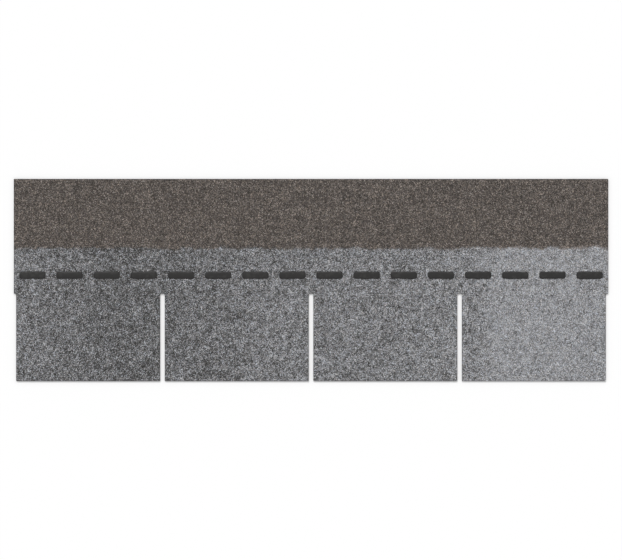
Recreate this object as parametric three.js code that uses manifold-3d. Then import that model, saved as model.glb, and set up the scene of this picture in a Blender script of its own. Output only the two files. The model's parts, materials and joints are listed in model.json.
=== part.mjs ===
// Four-tab asphalt strip shingle, lying flat with its granule face up. Millimetres, +Z up.
// X runs along the eaves and +Y up the slope. The butt edge, with the tabs, is at -Y and the top edge at +Y.
// The origin is on the underside, at the middle of the strip's outline.

import * as THREE from "three";
import { mergeVertices } from "three/addons/utils/BufferGeometryUtils.js";
import Module from "manifold-3d";

// ---- Driving dimensions ----

const tabCount = 4;
const tabPitch = 250; // from the middle of one keyway to the middle of the next
const exposure = 145; // height of the tabs that the course above leaves showing
const topLap = 50; // width of the band that two further courses cover
const colouredHeight = 224; // coloured granules reach this far above the butt edge, with plain ones beyond
const sheetThickness = 3; // coated glass mat with its granules pressed in

const keywayWidth = 8; // die-cut gap between two tabs
const keywayCover = 2; // how far a keyway runs up under the next course
const keywayEndRadius = 2.5; // corners at the closed end of a keyway
const outerRadius = 1; // corners of the tabs and of the top edge
const endShoulderRadius = 0.5; // corner above the half keyway at each end

const dashesPerTab = 4;
const dashGap = 17.5; // bare granules between two sealant dashes
const dashWidth = 12;
const dashHeight = 0.75;
const dashShoulder = 2.5; // width of the rounded slope round a dash
const dashEndRadius = 4; // plan corners of a dash
const sealantAboveKeyway = 25; // from the closed end of a keyway to the lower edge of the dashes

const tapeWidth = 32; // release tape, centred behind the sealant dashes
const tapeThickness = 0.0625;
const tapeEdgeGap = 0.3; // free play beside the tape in its pressed recess

const arcSteps = 3; // curve segments of each rounded corner, doubled by the shape that they are in
const shoulderSteps = 4; // rings up the slope of a dash
const cutOvershoot = 5; // how far a cutting block passes the strip's ends

// ---- Worked out from them ----

const stripLength = tabCount * tabPitch;
const stripHeight = 2 * exposure + topLap;
const halfLength = stripLength / 2;
const topY = stripHeight / 2;
const buttY = -topY;
const halfKeyway = keywayWidth / 2;
const tabEndX = halfLength - halfKeyway;
const keywayTopY = buttY + exposure + keywayCover;
const bandBorderY = buttY + colouredHeight;
const dashLineY = keywayTopY + sealantAboveKeyway + dashWidth / 2;
const dashPitch = tabPitch / dashesPerTab;
const dashLength = dashPitch - dashGap;

// ---- Materials ----

const granuleFace = new THREE.MeshStandardMaterial({ color: 0x787879, roughness: 0.95, metalness: 0 });
const sealant = new THREE.MeshStandardMaterial({ color: 0x161514, roughness: 0.35, metalness: 0 });
const releaseTape = new THREE.MeshStandardMaterial({ color: 0x6c6e70, roughness: 0.25, metalness: 0 });

// ---- Helpers ----

const wasm = await Module();
wasm.setup();

// A closed three.js geometry as a manifold-3d solid.
function toSolid(geometry) {
  const bare = geometry.clone();
  bare.deleteAttribute("normal");
  bare.deleteAttribute("uv");
  const merged = mergeVertices(bare, 1e-4);
  return new wasm.Manifold(
    new wasm.Mesh({
      numProp: 3,
      vertProperties: merged.attributes.position.array,
      triVerts: new Uint32Array(merged.index.array),
    }),
  );
}

// A manifold-3d solid back as a three.js geometry.
function toGeometry(solid) {
  const mesh = solid.getMesh();
  const geometry = new THREE.BufferGeometry();
  geometry.setAttribute("position", new THREE.BufferAttribute(mesh.vertProperties, 3));
  geometry.setIndex(new THREE.BufferAttribute(mesh.triVerts, 1));
  geometry.computeVertexNormals();
  return geometry;
}

// Continues a path to the square corner and round it, on its way to the next point.
// A corner without a radius stays sharp.
function roundedCorner(path, corner, next) {
  const { x, y, radius = 0 } = corner;
  if (radius === 0) {
    path.lineTo(x, y);
    return;
  }
  const from = path.currentPoint;
  const arrive = new THREE.Vector2(x - from.x, y - from.y).normalize();
  const leave = new THREE.Vector2(next.x - x, next.y - y).normalize();
  const side = Math.sign(arrive.cross(leave));
  const centreX = x + (leave.x - arrive.x) * radius;
  const centreY = y + (leave.y - arrive.y) * radius;
  const start = Math.atan2(-side * arrive.x, side * arrive.y);
  path.absarc(centreX, centreY, radius, start, start + (side * Math.PI) / 2, side < 0);
}

// A closed outline through square corners, each {x, y, radius}, in order round the shape.
function roundedOutline(corners) {
  const first = corners[0];
  const last = corners.at(-1);
  const start = { x: (first.x + last.x) / 2, y: (first.y + last.y) / 2 };
  const shape = new THREE.Shape();
  shape.moveTo(start.x, start.y);
  corners.forEach((corner, i) => roundedCorner(shape, corner, corners[i + 1] ?? start));
  shape.closePath();
  return shape;
}

// ---- The strip ----

// The band of coloured granules: the tabs, the keyways and what lies above them up to the plain band.
// Half a keyway is cut from each end too, so that two strips laid end to end make a whole one.
function colouredBand() {
  const shoulder = Math.min(endShoulderRadius, halfKeyway / 3);
  const inner = Math.min(keywayEndRadius, halfKeyway - 2 * shoulder);
  const corners = [{ x: -tabEndX, y: buttY, radius: outerRadius }];
  for (let k = 1; k < tabCount; k++) {
    const keywayX = -halfLength + k * tabPitch;
    corners.push({ x: keywayX - halfKeyway, y: buttY, radius: outerRadius });
    corners.push({ x: keywayX - halfKeyway, y: keywayTopY, radius: inner });
    corners.push({ x: keywayX + halfKeyway, y: keywayTopY, radius: inner });
    corners.push({ x: keywayX + halfKeyway, y: buttY, radius: outerRadius });
  }
  corners.push({ x: tabEndX, y: buttY, radius: outerRadius });
  corners.push({ x: tabEndX, y: keywayTopY, radius: inner });
  corners.push({ x: halfLength, y: keywayTopY, radius: shoulder });
  corners.push({ x: halfLength, y: bandBorderY });
  corners.push({ x: -halfLength, y: bandBorderY });
  corners.push({ x: -halfLength, y: keywayTopY, radius: shoulder });
  corners.push({ x: -tabEndX, y: keywayTopY, radius: inner });
  return roundedOutline(corners);
}

// The band of plain granules, up to the top edge.
function plainBand() {
  return roundedOutline([
    { x: -halfLength, y: bandBorderY },
    { x: halfLength, y: bandBorderY },
    { x: halfLength, y: topY, radius: outerRadius },
    { x: -halfLength, y: topY, radius: outerRadius },
  ]);
}

// An outline at the sheet's full thickness.
function sheetOf(outline) {
  return toSolid(
    new THREE.ExtrudeGeometry(outline, {
      depth: sheetThickness,
      bevelEnabled: false,
      curveSegments: arcSteps,
    }),
  );
}

// One sheet, whose two bands share a border line across its faces.
function shingleStrip() {
  // The tape is rolled flush into the hot back coating, which leaves a shallow recess from end to end.
  const recess = new THREE.BoxGeometry(
    stripLength + 2 * cutOvershoot,
    tapeWidth + 2 * tapeEdgeGap,
    2 * tapeThickness,
  );
  recess.translate(0, dashLineY, 0);
  const sheet = sheetOf(colouredBand()).add(sheetOf(plainBand())).subtract(toSolid(recess));
  const mesh = new THREE.Mesh(toGeometry(sheet), granuleFace);
  mesh.name = "shingle_strip";
  return mesh;
}

// ---- Self-seal dashes ----

// The plan outline of a dash, drawn in by the inset all round.
// Its path ends where it starts, so the first point is dropped.
function dashRing(inset) {
  const x = dashLength / 2 - inset;
  const y = dashWidth / 2 - inset;
  const radius = Math.max(dashEndRadius - inset, dashShoulder / 10);
  const outline = roundedOutline([
    { x: -x, y: -y, radius },
    { x: x, y: -y, radius },
    { x: x, y: y, radius },
    { x: -x, y: y, radius },
  ]);
  return outline.getPoints(arcSteps).slice(1);
}

// A dash of cooled bitumen: its rings draw in as they rise along a quarter round to a flat crown.
function dashGeometry() {
  const positions = [];
  let ringSize = 0;
  for (let i = 0; i <= shoulderSteps; i++) {
    const angle = ((i / shoulderSteps) * Math.PI) / 2;
    const ring = dashRing(dashShoulder * (1 - Math.cos(angle)));
    ringSize = ring.length;
    ring.forEach((p) => positions.push(p.x, p.y, dashHeight * Math.sin(angle)));
  }
  const indices = [];
  for (let i = 0; i < shoulderSteps; i++) {
    for (let j = 0; j < ringSize; j++) {
      const a = i * ringSize + j;
      const b = i * ringSize + ((j + 1) % ringSize);
      indices.push(a, b, b + ringSize, a, b + ringSize, a + ringSize);
    }
  }
  const crown = shoulderSteps * ringSize;
  for (let j = 1; j < ringSize - 1; j++) {
    indices.push(0, j + 1, j);
    indices.push(crown, crown + j, crown + j + 1);
  }
  const geometry = new THREE.BufferGeometry();
  geometry.setAttribute("position", new THREE.Float32BufferAttribute(positions, 3));
  geometry.setIndex(indices);
  geometry.computeVertexNormals();
  return geometry;
}

function sealantDashes() {
  const group = new THREE.Group();
  const geometry = dashGeometry();
  for (let i = 0; i < tabCount * dashesPerTab; i++) {
    const dash = new THREE.Mesh(geometry, sealant);
    dash.name = "sealant_dash_" + String(i + 1).padStart(2, "0");
    dash.position.set(-halfLength + (i + 0.5) * dashPitch, dashLineY, sheetThickness);
    group.add(dash);
  }
  return group;
}

// ---- Release tape on the back ----

function tapeStrip() {
  const mesh = new THREE.Mesh(new THREE.BoxGeometry(stripLength, tapeWidth, tapeThickness), releaseTape);
  mesh.name = "release_tape";
  mesh.position.set(0, dashLineY, tapeThickness / 2);
  return mesh;
}

const shingle = new THREE.Group();
shingle.add(shingleStrip(), sealantDashes(), tapeStrip());

export default shingle;
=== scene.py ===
"""The looks of a four-tab asphalt strip shingle: granules, cut edges, sealant and release tape.

The strip lies flat with its granule face up. Lengths are in metres and colours are linear.
X runs along the strip, +Y up the slope and +Z out of the granule face.
"""

import json
import logging
import math
import random
from collections.abc import Callable
from dataclasses import dataclass
from enum import Enum, IntEnum

import bmesh
import bpy
from bmesh.types import BMesh, BMVert
from bpy.types import Material, Mesh, Object
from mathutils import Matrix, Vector, noise

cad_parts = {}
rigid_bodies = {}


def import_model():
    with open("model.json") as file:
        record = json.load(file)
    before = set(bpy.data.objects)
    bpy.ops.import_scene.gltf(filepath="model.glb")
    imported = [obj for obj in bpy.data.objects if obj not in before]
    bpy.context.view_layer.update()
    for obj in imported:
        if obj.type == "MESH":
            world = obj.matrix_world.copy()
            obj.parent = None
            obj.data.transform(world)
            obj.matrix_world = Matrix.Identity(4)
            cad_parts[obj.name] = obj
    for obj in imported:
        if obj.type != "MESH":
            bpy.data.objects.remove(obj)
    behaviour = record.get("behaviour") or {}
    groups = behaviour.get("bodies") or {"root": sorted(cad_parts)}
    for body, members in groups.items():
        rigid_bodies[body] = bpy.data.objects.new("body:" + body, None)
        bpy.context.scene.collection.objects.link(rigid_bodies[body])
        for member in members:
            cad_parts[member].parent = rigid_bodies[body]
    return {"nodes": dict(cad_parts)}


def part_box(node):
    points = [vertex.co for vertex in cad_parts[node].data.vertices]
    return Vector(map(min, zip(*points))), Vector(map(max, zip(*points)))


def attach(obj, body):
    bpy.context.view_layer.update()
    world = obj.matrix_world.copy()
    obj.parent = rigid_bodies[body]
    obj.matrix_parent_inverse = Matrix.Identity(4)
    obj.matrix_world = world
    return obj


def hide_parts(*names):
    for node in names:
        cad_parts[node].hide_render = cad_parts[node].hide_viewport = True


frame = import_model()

logging.basicConfig(level=logging.INFO, format="%(message)s")
log = logging.getLogger("shingle")

MM = 0.001
BODY = "root"
MAP = "OFBake"  # the name of a piece's own map

Colour = tuple[float, float, float]
Axes = tuple[float, float, float]  # one number for each of X, Y and Z
Ends = tuple[float, float]  # where something starts and where it is complete
Stops = tuple[tuple[float, Colour], ...]  # colours, each with its place from 0 to 1

WHITE: Colour = (1.0, 1.0, 1.0)
BITUMEN: Colour = (0.016, 0.015, 0.014)
FINE_GRAIN = 0.95 * MM  # size of the granules between the stones
COAT = 0.05 * MM  # thickness of the coats on the sheet's two faces
TOUCH = 0.01 * MM  # what lies nearer than this counts as being in one place


# ---- Node writing, for shaders and for geometry alike ----


@dataclass(frozen=True)
class Lumps:
    """A pattern of soft noise."""

    size: float  # about how large its lumps are
    detail: float = 2.0  # how many finer layers it has
    seed: float = 0.0  # which one of all such patterns it is


def operator(operation: str, reflected: bool = False) -> Callable[["Value", "Value | float"], "Value"]:
    """Makes the method that writes one of Python's operators as a Math node.

    Args:
        operation: the node's operation.
        reflected: whether the Value stands to the right of the operator.

    Returns:
        The method.
    """

    def written(self: "Value", other: "Value | float") -> "Value":
        """Writes the node and gives its result."""
        return self.graph.math(operation, *((other, self) if reflected else (self, other)))

    return written


@dataclass(frozen=True, eq=False)
class Value:
    """A number, vector or colour socket that Python's operators work on."""

    graph: "Graph"
    socket: bpy.types.NodeSocket

    __add__ = __radd__ = operator("ADD")
    __sub__ = operator("SUBTRACT")
    __rsub__ = operator("SUBTRACT", reflected=True)
    __mul__ = __rmul__ = operator("MULTIPLY")
    __truediv__ = operator("DIVIDE")
    __rtruediv__ = operator("DIVIDE", reflected=True)
    __gt__ = operator("GREATER_THAN")
    __lt__ = operator("LESS_THAN")


def pick(sockets: bpy.types.bpy_prop_collection, name: str | int) -> bpy.types.NodeSocket:
    """The socket of that number, or the one of that name that is in use."""
    named = (socket for socket in sockets if socket.name == name and socket.enabled)
    return sockets[name] if isinstance(name, int) else next(named)


@dataclass(frozen=True)
class Node:
    """A made node, whose outputs are read by name or number."""

    graph: "Graph"
    made: bpy.types.Node

    def __getitem__(self, name: str | int) -> Value:
        """The output of that name or number."""
        return Value(self.graph, pick(self.made.outputs, name))


def fill_ramp(ramp: bpy.types.ColorRamp, stops: Stops) -> None:
    """Sets a colour ramp's stops.

    Args:
        ramp: the ramp.
        stops: its colours and their places.
    """
    while len(ramp.elements) < len(stops):
        ramp.elements.new(1.0)
    for element, (place, colour) in zip(ramp.elements, stops, strict=True):
        element.position = place
        element.color = (*colour, 1.0)


class Graph:
    """One node tree that is being written."""

    place: Value  # where each element lies, in the kinds of tree that have places

    def __init__(self, tree: bpy.types.NodeTree) -> None:
        """Starts on an empty tree."""
        self.tree = tree
        tree.nodes.clear()

    def node(self, kind: str, sockets: dict | None = None, **settings: object) -> Node:
        """Adds a node.

        Args:
            kind: the node's type name.
            sockets: its inputs by name or number, each with a constant or a Value to link.
            settings: its properties, with a ramp's stops among them. They are set first, because they
                choose the sockets in use.

        Returns:
            The node.
        """
        made = self.tree.nodes.new(kind)
        for name, value in settings.items():
            if name == "stops":
                fill_ramp(made.color_ramp, value)
            else:
                setattr(made, name, value)
        for name, value in (sockets or {}).items():
            socket = pick(made.inputs, name)
            if isinstance(value, Value):
                self.tree.links.new(value.socket, socket)
            else:
                socket.default_value = (*value, 1.0) if socket.type == "RGBA" else value
        return Node(self, made)

    def math(self, operation: str, *values: Value | float) -> Value:
        """One Math node over one to three values."""
        return self.node("ShaderNodeMath", dict(enumerate(values)), operation=operation)["Value"]

    def vector(self, operation: str, *values: Value | Axes) -> Value:
        """One Vector Math node."""
        return self.node("ShaderNodeVectorMath", dict(enumerate(values)), operation=operation)["Vector"]

    def scaled(self, vector: Value | Colour, factor: Value | float) -> Value:
        """A vector or colour times a number."""
        sockets = {"Vector": vector, "Scale": factor}
        return self.node("ShaderNodeVectorMath", sockets, operation="SCALE")["Vector"]

    def parts(self, vector: Value) -> list[Value]:
        """The three numbers of a vector."""
        split = self.node("ShaderNodeSeparateXYZ", {"Vector": vector})
        return [split[axis] for axis in "XYZ"]

    def mix(self, factor: Value | float, first: Value | Colour, second: Value | Colour) -> Value:
        """From the first colour to the second as the factor goes from 0 to 1."""
        sockets = {0: factor, 6: first, 7: second}
        return self.node("ShaderNodeMix", sockets, data_type="RGBA", clamp_factor=True)[2]

    def ramp(self, at: Value, stops: Stops) -> Value:
        """The colour that a row of colours has at a place from 0 to 1."""
        return self.node("ShaderNodeValToRGB", {"Fac": at}, stops=stops)["Color"]

    def smooth(self, value: Value, low: float, high: float) -> Value:
        """A smooth step from 0 at low to 1 at high."""
        sockets = {"Value": value, "From Min": low, "From Max": high}
        return self.node("ShaderNodeMapRange", sockets, interpolation_type="SMOOTHSTEP")["Result"]

    def noise(self, lumps: Lumps, at: Value | None = None) -> Value:
        """Soft noise of about 0 to 1, at each element's own place if no other is given."""
        sockets = dict(Vector=at or self.place, Scale=1.0 / lumps.size, Detail=lumps.detail, W=lumps.seed)
        return self.node("ShaderNodeTexNoise", sockets, noise_dimensions="4D")["Fac"]

    def swing(self, lumps: Lumps, reach: Value | float) -> Value:
        """Soft noise round 0, of which the reach is the whole range."""
        return (self.noise(lumps) - 0.5) * reach

    def seen(self) -> Value:
        """Tells what the camera sees itself, mirrored or through glass from light on the object.

        Returns:
            1 for what the camera sees, and 0 for light.
        """
        rays = self.node("ShaderNodeLightPath")
        mirrored = self.math("MAXIMUM", rays["Is Glossy Ray"], rays["Is Transmission Ray"])
        return self.math("MAXIMUM", rays["Is Camera Ray"], mirrored)


class Shader(Graph):
    """The node tree of one material."""

    def __init__(self, name: str) -> None:
        """Makes the material and an empty tree for it.

        Args:
            name: the material's name.
        """
        self.material = bpy.data.materials.new(name)
        self.material.use_nodes = True
        super().__init__(self.material.node_tree)
        self.place = self.node("ShaderNodeTexCoord")["Object"]
        self.x, self.y, self.z = self.parts(self.place)

    def stretched(self, factors: Axes) -> Value:
        """The place, with each of its numbers times a factor."""
        return self.vector("MULTIPLY", self.place, factors)

    def bump(self, height: Value, depth: float) -> Value:
        """The normal bent by a relief from 0 to 1, of which 1 measures the depth."""
        return self.node("ShaderNodeBump", {"Height": height, "Distance": depth})["Normal"]

    def cells(self, size: float, feature: str = "F1") -> Node:
        """Grains of about that size, each a cell of its own."""
        sockets = {"Vector": self.place, "Scale": 1.0 / size, "Randomness": 1.0}
        return self.node("ShaderNodeTexVoronoi", sockets, feature=feature)

    def draw(self, cells: Node, channel: str) -> Value:
        """An even random number for each cell, another one for each colour channel."""
        return self.node("ShaderNodeSeparateColor", {"Color": cells["Color"]})[channel]

    def end(self, shader: Value) -> Material:
        """Ends the tree and returns the material."""
        self.node("ShaderNodeOutputMaterial", {"Surface": shader})
        return self.material

    def surface(self, tone: Value, rough: Value, normal: Value, specular: float) -> Material:
        """Ends the tree in one Principled shader and returns the material."""
        sockets = {"Base Color": tone, "Roughness": rough, "Normal": normal, "Specular IOR Level": specular}
        return self.end(self.node("ShaderNodeBsdfPrincipled", sockets)["BSDF"])


# ---- The strip's sizes ----


@dataclass(frozen=True)
class Strip:
    """Where things lie on the strip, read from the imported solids."""

    low: Vector  # the sheet's lowest corner
    high: Vector  # its highest corner
    dash_nodes: tuple[str, ...]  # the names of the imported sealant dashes
    coloured_height: float = 224 * MM  # how far the coloured granules reach above the butt edge

    @classmethod
    def from_frame(cls) -> "Strip":
        """Reads the strip's box and finds its sealant dashes."""
        dashes = sorted(name for name in frame["nodes"] if name.startswith("sealant_dash"))
        return cls(*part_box("shingle_strip"), tuple(dashes))

    @property
    def dash_size(self) -> Vector:
        """A sealant dash's length, width and height."""
        low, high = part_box(self.dash_nodes[0])
        return high - low

    def dash_places(self, lift: float) -> list[Vector]:
        """The middle of each dash's underside, moved up by the lift."""
        boxes = [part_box(name) for name in self.dash_nodes]
        return [Vector(((low.x + high.x) / 2, (low.y + high.y) / 2, low.z + lift)) for low, high in boxes]

    @property
    def length(self) -> float:
        """The strip's length along X."""
        return self.high.x - self.low.x

    @property
    def border(self) -> float:
        """Y where the coloured granules end and the plain ones begin."""
        return self.low.y + self.coloured_height

    @property
    def whole(self) -> tuple[float, float]:
        """Two heights along Y that have all of the sheet between them."""
        return self.low.y - MM, self.high.y + MM

    def bands(self, count: int) -> list[tuple[float, float]]:
        """Equal bands from the butt edge up, each its lower edge along Y and its height."""
        height = (self.high.y - self.low.y) / count
        return [(self.low.y + number * height, height) for number in range(count)]


# ---- Finishes ----


@dataclass(frozen=True)
class Drop:
    """A stretch of darker or lighter granules that fell on the moving sheet."""

    centre: float  # its middle, from the strip's left end
    flat: float  # how far it keeps its full share to either side
    fade: float  # how far it then takes to fade out
    shift: float  # what it adds to each granule's chance, below 0 for darker

    def added(self, shader: Shader, along: Value) -> Value:
        """What it adds to the chance of a granule that lies so far from the strip's left end."""
        away = shader.math("ABSOLUTE", along - self.centre)
        return (1.0 - shader.smooth(away, self.flat, self.flat + self.fade)) * self.shift


# Granule colours by chance: near-black, middle grey and pale ones, each with some spread.
COLOURED_MIX: Stops = (
    (0.00, (0.050, 0.049, 0.047)),
    (0.22, (0.095, 0.094, 0.092)),
    (0.28, (0.212, 0.212, 0.216)),
    (0.56, (0.322, 0.325, 0.336)),
    (0.63, (0.458, 0.464, 0.485)),
    (1.00, (0.668, 0.679, 0.712)),
)
# The cheaper granules of the headlap, which is hidden on the roof: browner and more even.
PLAIN_MIX: Stops = (
    (0.00, (0.045, 0.040, 0.036)),
    (0.30, (0.100, 0.086, 0.077)),
    (0.70, (0.225, 0.194, 0.173)),
    (1.00, (0.430, 0.372, 0.332)),
)
# Fine parting sand on the back.
SAND_MIX: Stops = (
    (0.00, (0.035, 0.033, 0.031)),
    (0.55, (0.085, 0.081, 0.076)),
    (0.90, (0.170, 0.162, 0.150)),
    (1.00, (0.330, 0.315, 0.290)),
)


@dataclass(frozen=True)
class GranuleBlend:
    """The mix of granules: each one's colour comes from its place and its chance."""

    strip: Strip
    drops: tuple[Drop, ...] = (
        Drop(centre=0.110, flat=0.030, fade=0.220, shift=-0.070),
        Drop(centre=0.250, flat=0.060, fade=0.150, shift=-0.115),
        Drop(centre=0.740, flat=0.030, fade=0.080, shift=0.050),
        Drop(centre=0.905, flat=0.075, fade=0.070, shift=0.250),
    )
    patches: Lumps = Lumps(16 * MM, 4.0, 2.0)  # where granules lean to dark or pale together
    patch: float = 0.30  # how much they lean
    clumps: Lumps = Lumps(7 * MM, 1.0, 5.0)  # the same for small groups
    clump: float = 0.86
    plain_lean: float = 0.6  # how much of that lean the plain granules have
    sway: Lumps = Lumps(55 * MM, 3.0)  # how a drop's edges stray from a straight line
    swaying: float = 36 * MM  # the whole range that they stray over
    ripple: Lumps = Lumps(24 * MM, 4.0, 11.0)  # how the border strays
    rippling: float = 18 * MM  # its whole range
    scatter: float = 5 * MM  # how far single granules lie across the border
    warm: Colour = (1.055, 1.000, 0.935)  # the cast of the warmest granules
    cool: Colour = (0.950, 1.000, 1.060)  # the cast of the coolest ones
    recast: float = 37.0  # a chance times this gives another one, for the cast

    def granule(self, shader: Shader, chance: Value) -> Value:
        """A granule's colour, plain above the border and coloured below.

        Args:
            shader: the tree that it is written in.
            chance: an even random number for each granule.

        Returns:
            The colour.
        """
        lean = shader.swing(self.patches, self.patch) + shader.swing(self.clumps, self.clump)
        along = shader.x - self.strip.low.x + shader.swing(self.sway, self.swaying)
        dropped = sum(drop.added(shader, along) for drop in self.drops)
        coloured = shader.ramp(chance + lean + dropped, COLOURED_MIX)
        plain = shader.ramp(chance + lean * self.plain_lean, PLAIN_MIX)
        level = shader.y + shader.swing(self.ripple, self.rippling) + (chance - 0.5) * self.scatter
        cast = shader.mix(shader.math("FRACT", chance * self.recast), self.warm, self.cool)
        return shader.vector("MULTIPLY", shader.mix(level > self.strip.border, coloured, plain), cast)


@dataclass(frozen=True)
class StoneFinish:
    """The finish of the granules that stand out of the bed."""

    blend: GranuleBlend
    specks: Lumps = Lumps(0.35 * MM)
    speckle: float = 0.36  # how much the tone varies over a granule
    pits: Lumps = Lumps(0.35 * MM, 3.0, 3.0)  # the small pits in it
    pit_depth: float = 0.05 * MM
    worn: Lumps = Lumps(1.5 * MM, 1.0, 6.0)  # where granules are smoother or rougher
    wear: float = 0.3  # how much the roughness varies
    roughness: float = 0.80
    specular: float = 0.35

    def material(self) -> Material:
        """Writes the material, which reads each granule's own chance from its attribute.

        Returns:
            The material.
        """
        shader = Shader("granule_stones")
        chance = shader.node("ShaderNodeAttribute", attribute_name="chance")["Fac"]
        speck = shader.swing(self.specks, self.speckle) + 1.0
        tone = shader.scaled(self.blend.granule(shader, chance), speck)
        rough = shader.swing(self.worn, self.wear) + self.roughness
        normal = shader.bump(shader.noise(self.pits), self.pit_depth)
        return shader.surface(tone, rough, normal, self.specular)


@dataclass(frozen=True)
class BedFinish:
    """Fine granules pressed side by side into the bitumen, which the stones stand in."""

    blend: GranuleBlend
    groove: float = 0.26  # from a granule's edge to its full height, as a share of its size
    filling: float = 0.85  # how much of a groove's colour is bitumen
    # Partly painted shade: the bed is kept darker than the stones to stand in for the shadow in the gaps
    # between them, as well as for the darker fines that lie there.
    shade: float = 0.80  # how bright it is, as a share of the stones
    depth: float = 0.35 * MM
    roughness: float = 0.68
    grain_rough: float = 0.25  # how much rougher than bitumen the granules are
    specular: float = 0.3

    def material(self) -> Material:
        """Writes the material: a colour for each fine granule, with bitumen in the grooves between them.

        Returns:
            The material.
        """
        shader = Shader("granule_bed")
        filled = shader.smooth(shader.cells(FINE_GRAIN, "DISTANCE_TO_EDGE")["Distance"], 0.0, self.groove)
        chance = shader.draw(shader.cells(FINE_GRAIN), "Red")
        # The shade darkens the fine granules, partly as painted shade in the gaps between the stones.
        tone = shader.scaled(self.blend.granule(shader, chance), self.shade)
        tone = shader.mix((1.0 - filled) * self.filling, tone, BITUMEN)
        rough = filled * self.grain_rough + self.roughness
        return shader.surface(tone, rough, shader.bump(filled, self.depth), self.specular)


@dataclass(frozen=True)
class CutFinish:
    """The cut edge: black coating, the pale ends of mat fibres half way up, and cut granules on top.

    Heights on the cut are shares of the sheet's thickness.
    """

    blend: GranuleBlend
    fibre: Colour = (0.110, 0.100, 0.088)
    mat_level: float = 0.42
    mat_reach: Ends = (0.05, 0.13)  # how far from that level the fibres start to thin out and are gone
    sags: Lumps = Lumps(9 * MM, 2.0, 17.0)  # how the mat strays from its level
    sag: float = 0.2  # the whole range that it strays over
    strands: Lumps = Lumps(0.55 * MM, 3.0, 1.0)  # the ends of its strands
    flattened: Axes = (1.0, 1.0, 3.2)  # they lie flat in the sheet
    strand_edge: float = 0.53  # the value of that pattern from which a strand shows
    granule_level: float = 0.80  # where the cut granules begin
    sunk: Lumps = Lumps(1.6 * MM, 2.0, 4.0)  # how single ones stray from that level
    sink: float = 0.4  # the whole range that they stray over
    shade: float = 0.8  # how bright they are, as a share of the stones
    torn: Lumps = Lumps(0.6 * MM, 3.0, 13.0)  # the unevenness that the knife leaves
    depth: float = 0.21 * MM
    roughness: float = 0.65
    granule_rough: float = 0.2  # how much rougher than the coating the granules are
    specular: float = 0.3

    def material(self) -> Material:
        """Writes the material, which goes by the height above the sheet's underside.

        Returns:
            The material.
        """
        strip = self.blend.strip
        shader = Shader("cut_asphalt")
        level = (shader.z - strip.low.z) / (strip.high.z - strip.low.z)
        away = shader.math("ABSOLUTE", level + shader.swing(self.sags, self.sag) - self.mat_level)
        mat = 1.0 - shader.smooth(away, *self.mat_reach)
        strands = shader.noise(self.strands, shader.stretched(self.flattened)) > self.strand_edge
        body = shader.mix(mat * strands, BITUMEN, self.fibre)
        granules = level > shader.swing(self.sunk, self.sink) + self.granule_level
        chance = shader.draw(shader.cells(FINE_GRAIN), "Green")
        cut = shader.scaled(self.blend.granule(shader, chance), self.shade)
        rough = granules * self.granule_rough + self.roughness
        normal = shader.bump(shader.noise(self.torn), self.depth)
        return shader.surface(shader.mix(granules, body, cut), rough, normal, self.specular)


@dataclass(frozen=True)
class BackFinish:
    """The back: dull black coating under a thin, uneven layer of fine parting sand."""

    pitch: Colour = (0.024, 0.023, 0.022)
    stains: Lumps = Lumps(5 * MM, 3.0, 7.0)  # how the coating's tone varies
    grain: float = 0.62 * MM  # the size of a grain of sand
    patches: Lumps = Lumps(26 * MM, 4.0, 9.0)  # where the sand lies thick or thin
    patch: float = 0.5  # how much they count for the cover of sand
    streaks: Lumps = Lumps(9 * MM, 2.0, 15.0)  # the same in the roller's streaks
    rolled: Axes = (0.12, 1.0, 1.0)  # the streaks run along the sheet
    streak: float = 0.3  # how much they count for it
    cover: Ends = (0.20, 0.62)  # the sums of both at which grains start and at which they are dense
    slope: float = 1.6  # how steeply a grain falls off from its middle
    bared: Ends = (0.05, 0.40)  # the heights on a grain at which pitch starts to thin and is gone
    swell: float = 0.5  # a grain's share of the relief
    grit: Lumps = Lumps(0.6 * MM, 3.0, 13.0)  # the unevenness of the coating
    roughened: float = 0.6  # the grit's share of it
    depth: float = 0.35 * MM
    roughness: float = 0.60
    sand_rough: float = 0.2  # how much rougher than the coating the sand is
    specular: float = 0.3

    def material(self) -> Material:
        """Writes the material.

        Returns:
            The material.
        """
        shader = Shader("sanded_back")
        grains = shader.cells(self.grain)
        streaks = shader.noise(self.streaks, shader.stretched(self.rolled))
        spread = shader.noise(self.patches) * self.patch + streaks * self.streak
        sanded = shader.draw(grains, "Red") < shader.smooth(spread, *self.cover)
        round_top = 1.0 - shader.math("MINIMUM", grains["Distance"] * self.slope, 1.0)
        pitch = shader.scaled(self.pitch, shader.noise(self.stains) + 0.5)
        sand = shader.ramp(shader.draw(grains, "Green"), SAND_MIX)
        tone = shader.mix(sanded * shader.smooth(round_top, *self.bared), pitch, sand)
        relief = sanded * round_top * self.swell + shader.noise(self.grit) * self.roughened
        rough = sanded * self.sand_rough + self.roughness
        return shader.surface(tone, rough, shader.bump(relief, self.depth), self.specular)


@dataclass(frozen=True)
class SealantFinish:
    """Smooth black bitumen with a soft gloss, dulled in places by parting dust."""

    body: Colour = (0.011, 0.0105, 0.010)
    dust: Colour = (0.040, 0.039, 0.037)
    film: Lumps = Lumps(6 * MM, 5.0, 1.0)  # how the dust lies
    dusted: Ends = (0.50, 0.72)  # the values of that pattern at which dust starts and is thick
    veil: float = 0.5  # how much of the colour thick dust takes over
    skin: Lumps = Lumps(0.9 * MM, 2.0, 4.0)  # the fine unevenness of the bitumen
    depth: float = 0.06 * MM
    roughness: float = 0.36
    dust_rough: float = 0.35  # how much rougher thick dust makes it
    specular: float = 0.32

    def material(self) -> Material:
        """Writes the material.

        Returns:
            The material.
        """
        shader = Shader("sealant_bitumen")
        dusty = shader.smooth(shader.noise(self.film), *self.dusted)
        tone = shader.mix(dusty * self.veil, self.body, self.dust)
        rough = dusty * self.dust_rough + self.roughness
        normal = shader.bump(shader.noise(self.skin), self.depth)
        return shader.surface(tone, rough, normal, self.specular)


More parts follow.
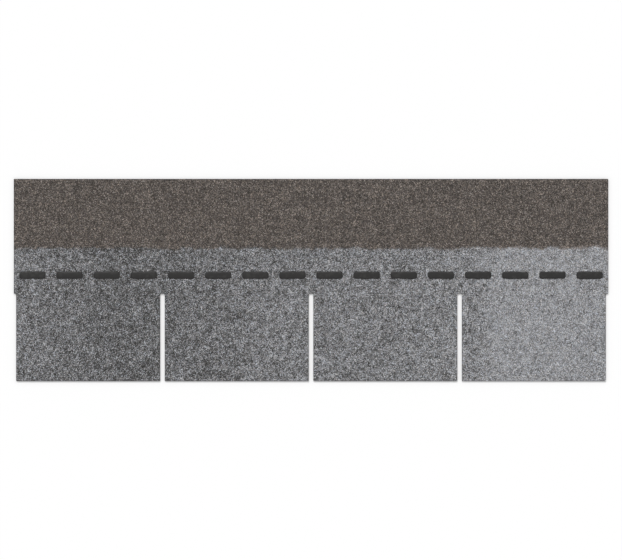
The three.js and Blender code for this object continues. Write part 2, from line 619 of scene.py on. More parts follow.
@dataclass(frozen=True)
class TapeFinish:
    """Thin smoky release film over the coating: glossy, wrinkled, and cloudy where air lies under it."""

    stuck: Colour = (0.085, 0.088, 0.092)
    loose: Colour = (0.240, 0.248, 0.256)
    creases: Lumps = Lumps(7 * MM, 4.0, 2.0)  # creases lie where this pattern is half way
    pulled: Axes = (0.35, 1.0, 1.0)  # the creases run along the tape
    sharpness: float = 14.0  # how narrow they are
    air: Lumps = Lumps(15 * MM, 4.0, 5.0)  # where air lies under the film
    lifted: Ends = (0.40, 0.66)  # the values of that pattern at which the film starts to lift and is loose
    haze: float = 0.45  # how cloudy a crease is
    fold: float = 0.6  # a crease's share of the relief
    grains: Lumps = Lumps(0.9 * MM, 2.0, 8.0)  # the coating's, seen where the film is stuck
    grain: float = 0.25  # their share of it
    depth: float = 0.22 * MM
    roughness: float = 0.16
    cloud_rough: float = 0.14  # how much rougher the clouds are
    specular: float = 0.5

    def material(self) -> Material:
        """Writes the material.

        Returns:
            The material.
        """
        shader = Shader("release_film")
        creases = shader.noise(self.creases, shader.stretched(self.pulled)) - 0.5
        away = shader.math("ABSOLUTE", creases) * self.sharpness
        ridge = 1.0 - shader.math("MINIMUM", away, 1.0)
        air = shader.smooth(shader.noise(self.air), *self.lifted)
        cloud = shader.math("MAXIMUM", air, ridge * self.haze)
        tone = shader.mix(cloud, self.stuck, self.loose)
        relief = shader.noise(self.grains) * (1.0 - air) * self.grain + ridge * self.fold
        rough = cloud * self.cloud_rough + self.roughness
        return shader.surface(tone, rough, shader.bump(relief, self.depth), self.specular)


# ---- Geometry Nodes ----


class InputKind(Enum):
    """The kinds of input that the modifiers here have."""

    GEOMETRY = "NodeSocketGeometry"
    OBJECT = "NodeSocketObject"
    COLLECTION = "NodeSocketCollection"
    MATERIAL = "NodeSocketMaterial"
    NUMBER = "NodeSocketFloat"
    COUNT = "NodeSocketInt"


class Draw(IntEnum):
    """The random draws for each stone, each with its fixed seed."""

    TURN = 1
    WIDTH = 2
    STRETCH = 3
    TONE = 4
    PRESS = 5


class Recipe(Graph):
    """One Geometry Nodes tree with named inputs."""

    def __init__(self, name: str, inputs: dict[InputKind, tuple[str, ...]]) -> None:
        """Makes the tree with a geometry input and output, a Material input and these further inputs.

        Args:
            name: the tree's name.
            inputs: the further inputs' names, by their kind.
        """
        tree = bpy.data.node_groups.new(name, "GeometryNodeTree")
        super().__init__(tree)
        tree.is_modifier = True
        for way in ("INPUT", "OUTPUT"):
            tree.interface.new_socket(name="Geometry", in_out=way, socket_type=InputKind.GEOMETRY.value)
        self.identifiers: dict[str, str] = {}
        for kind, labels in ({InputKind.MATERIAL: ("Material",)} | inputs).items():
            for label in labels:
                made = tree.interface.new_socket(name=label, in_out="INPUT", socket_type=kind.value)
                self.identifiers[label] = made.identifier
        self.given = self.node("NodeGroupInput")
        self.place = self.node("GeometryNodeInputPosition")["Position"]

    def xyz(self, x: Value | float, y: Value | float, z: Value | float) -> Value:
        """A vector from three numbers."""
        return self.node("ShaderNodeCombineXYZ", {"X": x, "Y": y, "Z": z})["Vector"]

    def chance(self, low: float | Axes, high: float | Axes, draw: Draw) -> Value:
        """An even random number for each element, or a vector of them.

        Args:
            low: the least that it can be.
            high: the most that it can be.
            draw: which of the draws it is.

        Returns:
            The number, or the vector where low and high have three numbers.
        """
        kind = "FLOAT_VECTOR" if isinstance(low, tuple) else "FLOAT"
        sockets = {"Min": low, "Max": high, "Seed": draw}
        return self.node("FunctionNodeRandomValue", sockets, data_type=kind)["Value"]

    def named(self, name: str) -> Value:
        """A vector attribute by its name."""
        attribute = self.node("GeometryNodeInputNamedAttribute", {"Name": name}, data_type="FLOAT_VECTOR")
        return attribute["Attribute"]

    def stored(self, geometry: Value, name: str, kind: str, domain: str, value: Value) -> Value:
        """Keeps a value on each element of the geometry.

        Args:
            geometry: the geometry.
            name: the name that the value is kept under.
            kind: the node's word for what kind of value it is.
            domain: its word for the kind of element.
            value: the value.

        Returns:
            The geometry that has it.
        """
        sockets = {"Geometry": geometry, "Name": name, "Value": value}
        made = self.node("GeometryNodeStoreNamedAttribute", sockets, data_type=kind, domain=domain)
        return made["Geometry"]

    def finish(self, geometry: Value) -> None:
        """Sets the Material input on the realized geometry and ends the tree."""
        sockets = {"Geometry": geometry, "Material": self.given["Material"]}
        self.node("NodeGroupOutput", {"Geometry": self.node("GeometryNodeSetMaterial", sockets)["Geometry"]})

    def make(self, name: str, base: Mesh, part: object, **others: object) -> Object:
        """Runs the tree on a base mesh and keeps the result as a plain mesh.

        Args:
            name: the new piece's name.
            base: the mesh that the tree starts from.
            part: the sub-assembly, whose fields go into the inputs of the same names.
            others: what goes into the other inputs, by their names in small letters.

        Returns:
            The piece, with no modifier left, at the origin.
        """
        piece = linked(name, base)
        modifier = piece.modifiers.new(name, "NODES")
        modifier.node_group = self.tree
        values = vars(part) | others
        for label, identifier in self.identifiers.items():
            modifier[identifier] = values[label.lower()]
        bpy.context.view_layer.update()
        evaluated = bpy.context.evaluated_depsgraph_get()
        result = bpy.data.meshes.new_from_object(piece.evaluated_get(evaluated), depsgraph=evaluated)
        piece.modifiers.clear()
        while result.materials and result.materials[0] is None:
            result.materials.pop(index=0)
        piece.data = result
        result.name = name
        return piece


# ---- Meshes and pieces ----


def linked(name: str, data: bpy.types.ID) -> Object:
    """Puts a new object in the scene.

    Args:
        name: its name.
        data: its mesh, lamp or camera.

    Returns:
        The object.
    """
    made = bpy.data.objects.new(name, data)
    bpy.context.scene.collection.objects.link(made)
    return made


def mesh_of(name: str, form: BMesh) -> Mesh:
    """Ends the work on a mesh.

    Args:
        name: the name of the plain mesh that it becomes.
        form: the worked mesh, which is freed.

    Returns:
        The plain mesh.
    """
    mesh = bpy.data.meshes.new(name)
    form.to_mesh(mesh)
    form.free()
    return mesh


def on_sheet(piece: Object) -> Object:
    """Makes a piece a part of the sheet's finish.

    Args:
        piece: the piece.

    Returns:
        The same piece.
    """
    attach(piece, BODY)
    return piece


def inset(share: float, gap: float) -> float:
    """A share from 0 to 1, drawn in by the gap at both ends."""
    return gap + share * (1.0 - 2.0 * gap)


def cut(form: BMesh, at: Vector, towards: Vector, clear: bool) -> None:
    """Cuts a mesh with the plane through a place and, if told to, clears the side that the plane faces."""
    everything = form.verts[:] + form.edges[:] + form.faces[:]
    bmesh.ops.bisect_plane(form, geom=everything, plane_co=at, plane_no=towards, clear_outer=clear)


def sheet_face(strip: Strip, level: float, bottom: float, top: float) -> BMesh:
    """The part of one of the sheet's flat faces that lies between two heights along Y.

    Args:
        strip: the strip's places.
        level: the face's own height, along Z.
        bottom: where the part starts.
        top: where it ends.

    Returns:
        A mesh to work on, whose faces point out of the sheet.
    """
    form = bmesh.new()
    form.from_mesh(frame["nodes"]["shingle_strip"].data)
    bmesh.ops.remove_doubles(form, verts=form.verts, dist=TOUCH)
    others = [face for face in form.faces if abs(face.calc_center_median().z - level) > TOUCH]
    bmesh.ops.delete(form, geom=others, context="FACES")
    for place, side in ((bottom, -1.0), (top, 1.0)):
        cut(form, Vector((0.0, place, 0.0)), Vector((0.0, side, 0.0)), clear=True)
    return form


# ---- Sub-assemblies ----


class BeadRecipe(Recipe):
    """A blunt-ended bead of bitumen on each point of the base, each a little different."""

    BULGES = Lumps(9 * MM, 2.0, 1.0)  # how its thickness varies along it
    SWAY = Lumps(26 * MM, 2.0, 3.0)  # how it strays from a straight line
    SKIN = Lumps(2.2 * MM, 2.0, 6.0)  # how the granules under it show through
    LEAST = 0.06  # how thick a bead still is at its very ends, as a share

    def __init__(self) -> None:
        """Writes the tree."""
        lengths = ("Length", "Width", "Height", "Sink", "Stray", "Lump", "Face")
        numbers = (*lengths, "Swell", "Bluntness", "Flatness")
        counts = ("Stations", "Around")
        super().__init__("sealant_dashes", {InputKind.NUMBER: numbers, InputKind.COUNT: counts})
        sideways = self.swing(self.SWAY, self.given["Stray"] * 2.0)
        path = self.moved({"Geometry": self.lines(), "Offset": self.xyz(0.0, sideways, 0.0)})
        swept = {"Curve": path, "Profile Curve": self.profile(), "Scale": self.fullness(), "Fill Caps": True}
        mesh = self.node("GeometryNodeCurveToMesh", swept)["Mesh"]
        outwards = self.node("GeometryNodeInputNormal")["Normal"]
        push = self.scaled(outwards, self.swing(self.SKIN, self.given["Lump"] * 2.0))
        above = self.parts(self.place)[2] > self.given["Face"]
        self.finish(self.moved({"Geometry": mesh, "Selection": above, "Offset": push}))

    def moved(self, sockets: dict[str, Value]) -> Value:
        """The Geometry, with its points at a Position or moved by an Offset."""
        return self.node("GeometryNodeSetPosition", sockets)["Geometry"]

    def lines(self) -> Value:
        """A straight line of points on each point of the base.

        Returns:
            The lines, as curves.
        """
        half = self.given["Length"] * 0.5
        ends = {"Start": self.xyz(half * -1.0, 0.0, 0.0), "End": self.xyz(half, 0.0, 0.0)}
        line = self.node("GeometryNodeCurvePrimitiveLine", ends)["Curve"]
        bead = self.node("GeometryNodeResampleCurve", {"Curve": line, "Count": self.given["Stations"]})
        sockets = {"Points": self.given["Geometry"], "Instance": bead["Curve"]}
        copies = self.node("GeometryNodeInstanceOnPoints", sockets)["Instances"]
        return self.node("GeometryNodeRealizeInstances", {"Geometry": copies})["Geometry"]

    def profile(self) -> Value:
        """A bead's cross-section: flat below, with a low crown above.

        Returns:
            The closed curve.
        """
        given = self.given
        sockets = {"Resolution": given["Around"], "Radius": 1.0}
        circle = self.node("GeometryNodeCurvePrimitiveCircle", sockets, mode="RADIUS")["Curve"]
        across, up, _ = self.parts(self.place)
        crown = self.math("POWER", self.math("MAXIMUM", up, 0.0), given["Flatness"])
        height = crown * (given["Height"] + given["Sink"])
        # A curve along X takes its profile upside down, so it is turned by half a turn here.
        turned = self.xyz(across * given["Width"] * -0.5, height * -1.0, 0.0)
        return self.moved({"Geometry": circle, "Position": turned})

    def fullness(self) -> Value:
        """How thick a bead is along its length, as a share: it falls off over its last few millimetres.

        Returns:
            The share.
        """
        along = self.node("GeometryNodeSplineParameter")["Factor"] * 2.0 - 1.0
        tip = self.math("POWER", self.math("ABSOLUTE", along), self.given["Bluntness"])
        bulging = self.swing(self.BULGES, self.given["Swell"] * 2.0) + 1.0
        return self.math("POWER", 1.0 - tip, 0.5) * bulging + self.LEAST


@dataclass
class SealantLine:
    """The dashes of bitumen across the face, one mesh that stands for all of them."""

    strip: Strip
    finish: SealantFinish
    sink: float = 0.20 * MM  # how far the underside of a dash lies in the granules
    stray: float = 0.9 * MM  # how far an outline strays from a straight bead
    swell: float = 0.22  # how much a bead's thickness varies, as a share
    lump: float = 0.35 * MM  # how much the granules under a bead show through its skin
    bluntness: float = 14.0  # how late and how steeply its ends fall off
    flatness: float = 0.6  # how flat its crown is, from 0 for flat to 1 for round
    stations: int = 60  # cross-sections along a dash
    around: int = 26  # points round a cross-section

    def build(self) -> Object:
        """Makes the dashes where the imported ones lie.

        Returns:
            The piece.
        """
        strip = self.strip
        base = bpy.data.meshes.new("dash_places")
        base.from_pydata(strip.dash_places(-self.sink), [], [])
        size = strip.dash_size
        sizes = {"length": size.x, "width": size.y, "height": size.z, "face": strip.high.z + COAT}
        piece = BeadRecipe().make("sealant_dashes", base, self, material=self.finish.material(), **sizes)
        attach(piece, BODY)
        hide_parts(*strip.dash_nodes)
        return piece


@dataclass(frozen=True)
class Patch:
    """A rectangle of a flat face, which has a row of the piece's map to itself."""

    left: float
    bottom: float
    width: float
    height: float

    def shares(self, place: Vector) -> tuple[float, float]:
        """Where the place lies across the rectangle and up it, as shares of its size."""
        return (place.x - self.left) / self.width, (place.y - self.bottom) / self.height

    def distance(self, place: Vector) -> float:
        """How far the place lies from the rectangle's middle, as a share of its size."""
        return max(abs(share - 0.5) for share in self.shares(place))


@dataclass
class Coats:
    """The sheet's two faces as thin layers: fine granules on top and sanded bitumen below.

    Each layer has a map of its own, one row above the other, which keeps its grain sharp.
    """

    strip: Strip
    bed: BedFinish
    back: BackFinish
    bands: int = 7  # how many layers the top is made of, one above the other along Y
    columns: int = 4  # how many parts each of them has side by side, each with a row of its map
    gap: float = 0.008  # what stays free at each side of a row, as a share of the row

    def layer(self, name: str, outwards: float, patches: list[Patch], material: Material) -> Object:
        """A thin closed layer on one of the sheet's faces.

        Args:
            name: the piece's name.
            outwards: which face it lies on, 1 for the upper one and -1 for the lower one.
            patches: the rectangles that it is made of.
            material: what it is made of.

        Returns:
            The piece.
        """
        level = self.strip.high.z if outwards > 0.0 else self.strip.low.z
        bottom = min(patch.bottom for patch in patches)
        top = max(patch.bottom + patch.height for patch in patches)
        form = sheet_face(self.strip, level, bottom, top)
        for left in sorted({patch.left for patch in patches}):
            cut(form, Vector((left, 0.0, 0.0)), Vector((1.0, 0.0, 0.0)), clear=False)
        grown = bmesh.ops.extrude_face_region(form, geom=form.faces[:], use_keep_orig=True)["geom"]
        raised = [part for part in grown if isinstance(part, BMVert)]
        bmesh.ops.translate(form, verts=raised, vec=(0.0, 0.0, outwards * COAT))
        bmesh.ops.recalc_face_normals(form, faces=form.faces)
        # The inner side shares the outer side's places on the map, and what comes last is kept there.
        form.faces.sort(key=lambda face: outwards * face.calc_center_median().z)
        self.lay_out(form, patches)
        piece = linked(name, mesh_of(name, form))
        piece.data.materials.append(material)
        return on_sheet(piece)

    def lay_out(self, form: BMesh, patches: list[Patch]) -> None:
        """Gives each patch a row of the map, as high as the patch is among the others.

        Args:
            form: the layer.
            patches: the rectangles that it is made of.
        """
        layer = form.loops.layers.uv.new(MAP)
        whole = sum(patch.height for patch in patches)
        for face in form.faces:
            middle = face.calc_center_median()
            patch = min(patches, key=lambda one: one.distance(middle))
            start = sum(lower.height for lower in patches[: patches.index(patch)]) / whole
            for corner in face.loops:
                across, up = (inset(share, self.gap) for share in patch.shares(corner.vert.co))
                corner[layer].uv = (across, start + up * patch.height / whole)

    def build(self) -> list[Object]:
        """Makes and dresses the layers of both faces.

        Returns:
            The layers, from the butt edge up, with the back's last.
        """
        low, high = self.strip.low, self.strip.high
        column = self.strip.length / self.columns
        material = self.bed.material()
        pieces = []
        for number, (bottom, height) in enumerate(self.strip.bands(self.bands), 1):
            patches = [Patch(low.x + i * column, bottom, column, height) for i in range(self.columns)]
            pieces.append(self.layer(f"granule_bed_{number}", 1.0, patches, material))
        # The back lies on both sides of the tape, and each side is halved.
        tape_low, tape_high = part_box("release_tape")
        sides = ((low.y, tape_low.y), (tape_high.y, high.y))
        half = self.strip.length / 2.0
        patches = [Patch(left, start, half, end - start) for start, end in sides for left in (low.x, 0.0)]
        return [*pieces, self.layer("back_coat", -1.0, patches, self.back.material())]


@dataclass
class CutEdge:
    """The die-cut edge all round the sheet: a band with the unevenness that the knife leaves."""

    strip: Strip
    finish: CutFinish
    step: float = 1.6 * MM  # the distance between two of its cross-sections
    reach: float = 0.08 * MM  # how far it stands out on average
    least: float = 0.02 * MM  # how far it stands out at least
    stray: float = 0.13 * MM  # how uneven it is
    waves: tuple[tuple[float, float], ...] = ((4.0 * MM, 0.0), (1.3 * MM, 7.0))  # their sizes and seeds
    wave: float = 0.6  # each one's share of the unevenness
    levels: int = 5  # how many points lie one above the other
    rows: int = 32  # how many rows its map has
    gap: float = 0.06  # what stays free at each side of a row, as a share of the row

    def corners(self) -> list[Vector]:
        """The outline's corners in order, with the sheet to the left.

        Returns:
            The corners, in the plane of the sheet.
        """
        form = sheet_face(self.strip, self.strip.high.z, *self.strip.whole)
        following = {}
        for edge in form.edges:
            if edge.is_boundary:
                start = edge.link_loops[0]
                following[start.vert.co.to_2d().freeze()] = start.link_loop_next.vert.co.to_2d().freeze()
        form.free()
        first = place = next(iter(following))
        ordered = []
        while not ordered or place != first:
            ordered.append(place)
            place = following[place]
        return ordered

    def stations(self) -> list[tuple[Vector, Vector]]:
        """Places along the outline, a step apart or less.

        Returns:
            Each place with the way out of the sheet.
        """
        corners = self.corners()
        runs = [after - here for here, after in zip(corners, corners[1:] + corners[:1], strict=True)]
        outwards = [Vector((run.y, -run.x)).normalized() for run in runs]
        found = []
        for i, (corner, run) in enumerate(zip(corners, runs, strict=True)):
            both = (outwards[i - 1] + outwards[i]).normalized()
            found.append((corner, both / both.dot(outwards[i])))
            parts = math.ceil(run.length / self.step)
            found += [(corner + run * (k / parts), outwards[i]) for k in range(1, parts)]
        return found

    def section(self, place: Vector, outwards: Vector) -> list[Vector]:
        """One cross-section: from its inner lower corner out, up the cut face and back in.

        Args:
            place: where it crosses the outline.
            outwards: the way out of the sheet.

        Returns:
            Its points.
        """
        bottom, top = self.strip.low.z - COAT, self.strip.high.z + COAT
        inner = place - outwards * COAT
        points = [inner.to_3d() + Vector((0.0, 0.0, bottom))]
        for level in range(self.levels):
            height = Vector((0.0, 0.0, bottom + (top - bottom) * level / (self.levels - 1)))
            at = place.to_3d() + height
            waves = [noise.noise(at / size + Vector((seed, 0.0, 0.0))) for size, seed in self.waves]
            out = max(self.reach + self.stray * sum(self.wave * wave for wave in waves), self.least)
            points.append((place + outwards * out).to_3d() + height)
        points.append(inner.to_3d() + Vector((0.0, 0.0, top)))
        return points

    def build(self) -> Object:
        """Makes the band, closed all round.

        Returns:
            The piece.
        """
        sections = [self.section(*station) for station in self.stations()]
        around = len(sections[0])
        per_row = math.ceil(len(sections) / self.rows)
        faces = []
        places = []
        # The inner side comes first: the outer side shares its places on the map, and the last is kept.
        for k in [around - 1, *range(around - 1)]:
            after = (k + 1) % around
            for i in range(len(sections)):
                here, there = i * around, (i + 1) % len(sections) * around
                faces.append((here + k, there + k, there + after, here + after))
                row, along = divmod(i, per_row)
                for step, up in ((0, k), (1, k), (1, after), (0, after)):
                    share = inset(up / (around - 1), self.gap)
                    places += ((along + step) / per_row, (row + share) / self.rows)
        mesh = bpy.data.meshes.new("cut_edge")
        mesh.from_pydata([point for section in sections for point in section], [], faces)
        mesh.uv_layers.new(name=MAP).uv.foreach_set("vector", places)
        mesh.materials.append(self.finish.material())
        return on_sheet(linked("cut_edge", mesh))


CROWN = 0.26  # how far a stone's upper corners lie above its middle, as a share of its width


@dataclass(frozen=True)
class Ring:
    """A ring of corners on a crushed stone, in shares of the stone's width."""

    count: int  # how many corners it has
    height: float  # how far they lie above the stone's middle
    reach: float  # how far they lie from its axis
    lead: float  # how far the ring is turned
    map_reach: float  # how far they lie from the middle of the stone's cell of the map
    turn_stray: float = 0.16  # how far a corner may turn from its place, as a share of their distance
    reach_stray: float = 0.16  # how much its reach may be off, as a share
    height_stray: float = 0.22  # how much its height may be off, in the same way


class StoneKind(Enum):
    """The kinds of crushed stone, each with its lower and its upper ring of corners."""

    RIDGED = (Ring(4, -0.15, 0.50, 0.0, 0.45), Ring(2, CROWN, 0.32, math.pi / 3, 0.22))
    BLUNT = (Ring(3, -0.15, 0.50, 0.0, 0.45), Ring(3, CROWN, 0.42, math.pi / 3, 0.22))

    def stone(self, name: str, dice: random.Random) -> Mesh:
        """A stone of unit width, the hull of six corners that each lie a little off their places.

        Each corner also keeps its place in a stone's cell of the map, from -0.5 to 0.5, in "cell_place".

        Args:
            name: the mesh's name.
            dice: what the draws come from.

        Returns:
            The mesh.
        """
        form = bmesh.new()
        layer = form.verts.layers.float_vector.new("cell_place")
        turn = dice.uniform(0.0, math.tau)
        for ring in self.value:
            for number in range(ring.count):
                place = number + dice.uniform(-ring.turn_stray, ring.turn_stray)
                angle = turn + ring.lead + math.tau * place / ring.count
                wide = ring.reach * dice.uniform(1.0 - ring.reach_stray, 1.0 + ring.reach_stray)
                tall = ring.height * dice.uniform(1.0 - ring.height_stray, 1.0 + ring.height_stray)
                corner = form.verts.new((wide * math.cos(angle), wide * math.sin(angle), tall))
                corner[layer] = Vector((math.cos(angle), math.sin(angle), 0.0)) * ring.map_reach
        bmesh.ops.convex_hull(form, input=form.verts)
        bmesh.ops.triangulate(form, faces=form.faces)
        bmesh.ops.recalc_face_normals(form, faces=form.faces)
        return mesh_of(name, form)


class StoneRecipe(Recipe):
    """Crushed stones scattered over a face, clear of its rim and of the sealant."""

    FINENESS = 1.4  # over 1 for more small stones than large ones
    TURNS = ((-0.22, -0.22, 0.0), (0.22, 0.22, math.tau))  # the least and the most, round X, Y and Z
    STRETCHES = ((0.85, 0.85, 0.75), (1.15, 1.15, 1.1))  # the least and the most, along X, Y and Z
    PRESSES = (0.78, 1.12)  # the least and the most of the Press that a stone is given

    def __init__(self) -> None:
        """Writes the tree."""
        numbers = ("Spacing", "Crowding", "Smallest", "Largest", "Rim", "Clearance", "Press", "Seat")
        inputs = {
            InputKind.NUMBER: numbers,
            InputKind.OBJECT: ("Outline", "Sealant"),
            InputKind.COLLECTION: ("Stones",),
            InputKind.COUNT: ("Seed",),
        }
        super().__init__("granule_stones", inputs)
        # A stone's width goes by its point's own number, and so is the same at each step.
        grade = self.math("POWER", self.chance(0.0, 1.0, Draw.WIDTH), self.FINENESS)
        smallest = self.given["Smallest"]
        self.width = grade * (self.given["Largest"] - smallest) + smallest
        stones = self.placed(self.scattered())
        stones = self.stored(stones, "chance", "FLOAT", "INSTANCE", self.chance(0.0, 1.0, Draw.TONE))
        self.finish(self.mapped(stones))

    def distance(self, label: str, element: str) -> Value:
        """How far each element lies from an input object.

        Args:
            label: the input's name.
            element: what it is measured to, the object's EDGES or its FACES.

        Returns:
            The distance.
        """
        named = {"Object": self.given[label]}
        target = self.node("GeometryNodeObjectInfo", named, transform_space="RELATIVE")["Geometry"]
        sockets = {"Geometry": target, "Sample Position": self.place}
        return self.node("GeometryNodeProximity", sockets, target_element=element)["Distance"]

    def scattered(self) -> Value:
        """Points on the base, no two closer than the spacing, with bare margins.

        Returns:
            The points.
        """
        given = self.given
        sockets = {
            "Mesh": given["Geometry"],
            "Distance Min": given["Spacing"],
            "Density Max": given["Crowding"],
            "Seed": given["Seed"],
        }
        points = self.node("GeometryNodeDistributePointsOnFaces", sockets, distribute_method="POISSON")
        near_rim = self.distance("Outline", "EDGES") < self.width * given["Rim"]
        near_sealant = self.distance("Sealant", "FACES") < self.width * given["Clearance"]
        culled = {"Geometry": points["Points"], "Selection": self.math("MAXIMUM", near_rim, near_sealant)}
        return self.node("GeometryNodeDeleteGeometry", culled, domain="POINT")["Geometry"]

    def placed(self, points: Value) -> Value:
        """A stone on each point, turned, sized and pressed in.

        Args:
            points: where the stones go.

        Returns:
            The stones, as instances.
        """
        given = self.given
        shelf = {"Collection": given["Stones"], "Separate Children": True, "Reset Children": True}
        sockets = {
            "Points": points,
            "Instance": self.node("GeometryNodeCollectionInfo", shelf)["Instances"],
            "Pick Instance": True,
            "Rotation": self.chance(*self.TURNS, Draw.TURN),
            "Scale": self.scaled(self.chance(*self.STRETCHES, Draw.STRETCH), self.width),
        }
        stones = self.node("GeometryNodeInstanceOnPoints", sockets)["Instances"]
        # The press leaves the tops level, so that a large stone lies deeper than a small one.
        pressed = given["Press"] * self.chance(*self.PRESSES, Draw.PRESS) - self.width * CROWN
        lift = self.math("MINIMUM", pressed, self.width * given["Seat"])
        raised = {"Instances": stones, "Translation": self.xyz(0.0, 0.0, lift), "Local Space": False}
        return self.node("GeometryNodeTranslateInstances", raised)["Instances"]

    def mapped(self, stones: Value) -> Value:
        """The stones as one mesh, on a map that gives each stone a square cell of its own.

        Args:
            stones: the stones, as instances.

        Returns:
            The mesh.
        """
        domain = self.node("GeometryNodeAttributeDomainSize", {"Geometry": stones}, component="INSTANCES")
        columns = self.math("CEIL", self.math("SQRT", domain["Instance Count"]))
        number = self.node("GeometryNodeInputIndex")["Index"]
        row = self.math("FLOOR", number / columns)
        middle = self.scaled(self.xyz(number - row * columns + 0.5, row + 0.5, 0.0), 1.0 / columns)
        stones = self.stored(stones, "cell_middle", "FLOAT_VECTOR", "INSTANCE", middle)
        solid = self.node("GeometryNodeRealizeInstances", {"Geometry": stones})["Geometry"]
        spread = self.scaled(self.named("cell_place"), 1.0 / columns)
        place = self.vector("ADD", self.named("cell_middle"), spread)
        solid = self.stored(solid, MAP, "FLOAT2", "CORNER", place)
        for name in ("cell_place", "cell_middle"):
            solid = self.node("GeometryNodeRemoveAttribute", {"Geometry": solid, "Name": name})["Geometry"]
        return solid


@dataclass
class GranuleStones:
    """The crushed stones that stand out of the granule bed, in bands along the strip."""

    strip: Strip
    finish: StoneFinish
    bands: int = 7  # how many pieces they are shared among, one above the other
    spacing: float = 1.33 * MM  # the least distance between two stones
    crowding: float = 8.0e6  # how many are tried on a square metre
    smallest: float = 1.45 * MM  # the smallest stone's width
    largest: float = 2.60 * MM  # the largest stone's width
    rim: float = 0.38  # the nearest that a stone's middle comes to a cut edge, as a share of its width
    clearance: float = 0.30  # the nearest that it comes to the sealant, in the same way
    press: float = 0.44 * MM  # how high the roller left the tallest stones
    seat: float = 0.05  # how far a small stone's middle lies above the face, as a share of its width
    shapes: int = 9  # how many shapes of stone there are
    seed: int = 11  # what all their draws go by

    def stone_shapes(self) -> bpy.types.Collection:
        """A few crushed stones to pick from, of each kind by turns.

        Returns:
            The stones.
        """
        dice = random.Random(self.seed)
        kinds = list(StoneKind)
        shelf = bpy.data.collections.new("stone_shapes")
        bpy.context.scene.collection.children.link(shelf)
        for number in range(self.shapes):
            name = f"stone_{number}"
            stone = kinds[number % len(kinds)].stone(name, dice)
            shelf.objects.link(bpy.data.objects.new(name, stone))
        return shelf

    def face(self, bottom: float, top: float) -> BMesh:
        """The upper face of the bed.

        Args:
            bottom: where it starts, along Y.
            top: where it ends.

        Returns:
            A mesh to work on.
        """
        form = sheet_face(self.strip, self.strip.high.z, bottom, top)
        bmesh.ops.translate(form, verts=form.verts, vec=(0.0, 0.0, COAT))
        return form

    def outline(self) -> Object:
        """The rim of the bed's upper face.

        Returns:
            An object of nothing but edges.
        """
        form = self.face(*self.strip.whole)
        inner = [edge for edge in form.edges if not edge.is_boundary]
        bmesh.ops.delete(form, geom=inner, context="EDGES_FACES")
        return linked("rim", mesh_of("rim", form))

    def build(self, sealant: Object) -> list[Object]:
        """Makes the bands of stones.

        Args:
            sealant: the dashes that the stones stay clear of.

        Returns:
            The pieces, from the butt edge up.
        """
        recipe = StoneRecipe()
        shelf = self.stone_shapes()
        rim = self.outline()
        shared = {"outline": rim, "sealant": sealant, "stones": shelf, "material": self.finish.material()}
        pieces = []
        for number, (bottom, height) in enumerate(self.strip.bands(self.bands)):
            base = mesh_of("face", self.face(bottom, bottom + height))
            others = {**shared, "seed": self.seed + number}
            pieces.append(on_sheet(recipe.make(f"granules_{number + 1}", base, self, **others)))
        for spent in (rim, *shelf.objects):
            bpy.data.objects.remove(spent)
        bpy.data.collections.remove(shelf)
        return pieces


# ---- Floor, light and camera ----


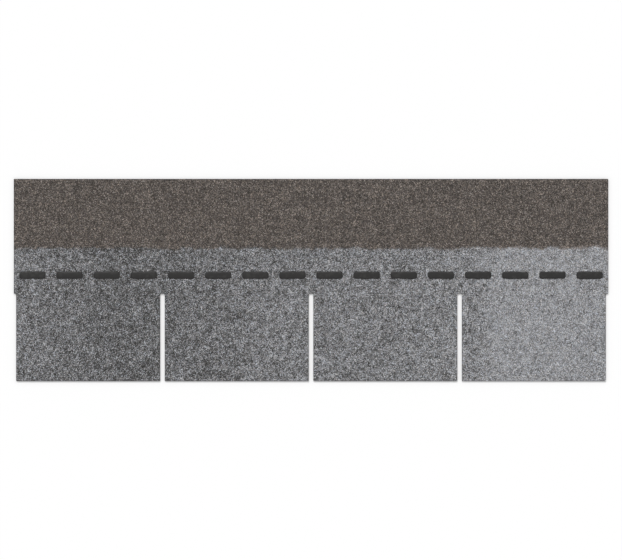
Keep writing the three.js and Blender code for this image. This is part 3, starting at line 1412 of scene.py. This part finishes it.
@dataclass(frozen=True)
class Studio:
    """A pale floor under soft light, seen from straight above."""

    strip: Strip
    share: float = 0.955  # the part of the picture's width that the strip fills
    distance: float = 6.0  # how high the camera stands
    sight: float = 24.0  # how far it sees
    sensor: float = 36.0  # the width of its sensor, in millimetres
    sky: float = 0.60  # the soft light from all sides
    key: float = 0.40  # the lamp's share of the light on a level face
    key_tilt: float = math.radians(38)  # how far it leans over from straight above, towards the top edge
    key_turn: float = math.radians(18)  # how far it then stands to one side
    key_spread: float = math.radians(14)  # its angle, for soft shadows
    floor_tone: float = 0.90
    floor_reach: float = 6.0

    def floor(self) -> None:
        """Lays the floor, which shows white in the picture but keeps the strip's shadow."""
        mesh = bpy.data.meshes.new("floor")
        reach, level = self.floor_reach, self.strip.low.z - 2.0 * COAT
        corners = [(x * reach, y * reach, level) for x, y in ((-1, -1), (1, -1), (1, 1), (-1, 1))]
        mesh.from_pydata(corners, [], [(0, 1, 2, 3)])
        shader = Shader("floor")
        plain = shader.node("ShaderNodeBsdfDiffuse", {"Color": (self.floor_tone,) * 3})["BSDF"]
        lift = {"Color": WHITE, "Strength": shader.seen() * (1.0 - self.floor_tone)}
        glow = shader.node("ShaderNodeEmission", lift)["Emission"]
        mesh.materials.append(shader.end(shader.node("ShaderNodeAddShader", {0: plain, 1: glow})["Shader"]))
        linked("floor", mesh)

    def light(self) -> None:
        """Sets a soft sky and a soft lamp that together light a level face to the tone it is written in."""
        world = bpy.data.worlds.new("studio")
        world.use_nodes = True
        graph = Graph(world.node_tree)
        strength = graph.seen() * (1.0 - self.sky) + self.sky
        sky = graph.node("ShaderNodeBackground", {"Color": WHITE, "Strength": strength})["Background"]
        graph.node("ShaderNodeOutputWorld", {"Surface": sky})
        bpy.context.scene.world = world
        lamp = bpy.data.lights.new("key", "SUN")
        lamp.energy = self.key * math.pi / math.cos(self.key_tilt)
        lamp.angle = self.key_spread
        linked("key", lamp).rotation_euler = (-self.key_tilt, 0.0, self.key_turn)

    def camera(self) -> None:
        """Stands the camera straight above the strip with a long lens."""
        data = bpy.data.cameras.new("camera")
        data.sensor_width = self.sensor
        data.lens = self.sensor * self.distance / (self.strip.length / self.share)
        data.clip_end = self.sight
        made = linked("camera", data)
        middle = (self.strip.low + self.strip.high) / 2.0
        made.location = (middle.x, middle.y, self.distance)
        bpy.context.scene.camera = made


def main() -> None:
    """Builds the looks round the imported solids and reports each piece."""
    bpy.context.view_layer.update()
    strip = Strip.from_frame()
    studio = Studio(strip)
    studio.camera()
    studio.light()
    studio.floor()
    bpy.context.scene.view_settings.view_transform = "Standard"

    blend = GranuleBlend(strip)
    coats = Coats(strip, BedFinish(blend), BackFinish()).build()
    edge = CutEdge(strip, CutFinish(blend)).build()
    sealant = SealantLine(strip, SealantFinish()).build()
    stones = GranuleStones(strip, StoneFinish(blend)).build(sealant)
    for piece in (*coats, edge, sealant, *stones):
        log.info("%s: %d faces", piece.name, len(piece.data.polygons))
    # Of the sheet itself only the back shows, beside the tape.
    finishes = {"shingle_strip": coats[-1].data.materials[0], "release_tape": TapeFinish().material()}
    for node, material in finishes.items():
        for slot in frame["nodes"][node].material_slots:
            slot.material = material
        log.info("%s: dressed", node)


if __name__ == "__main__":
    main()
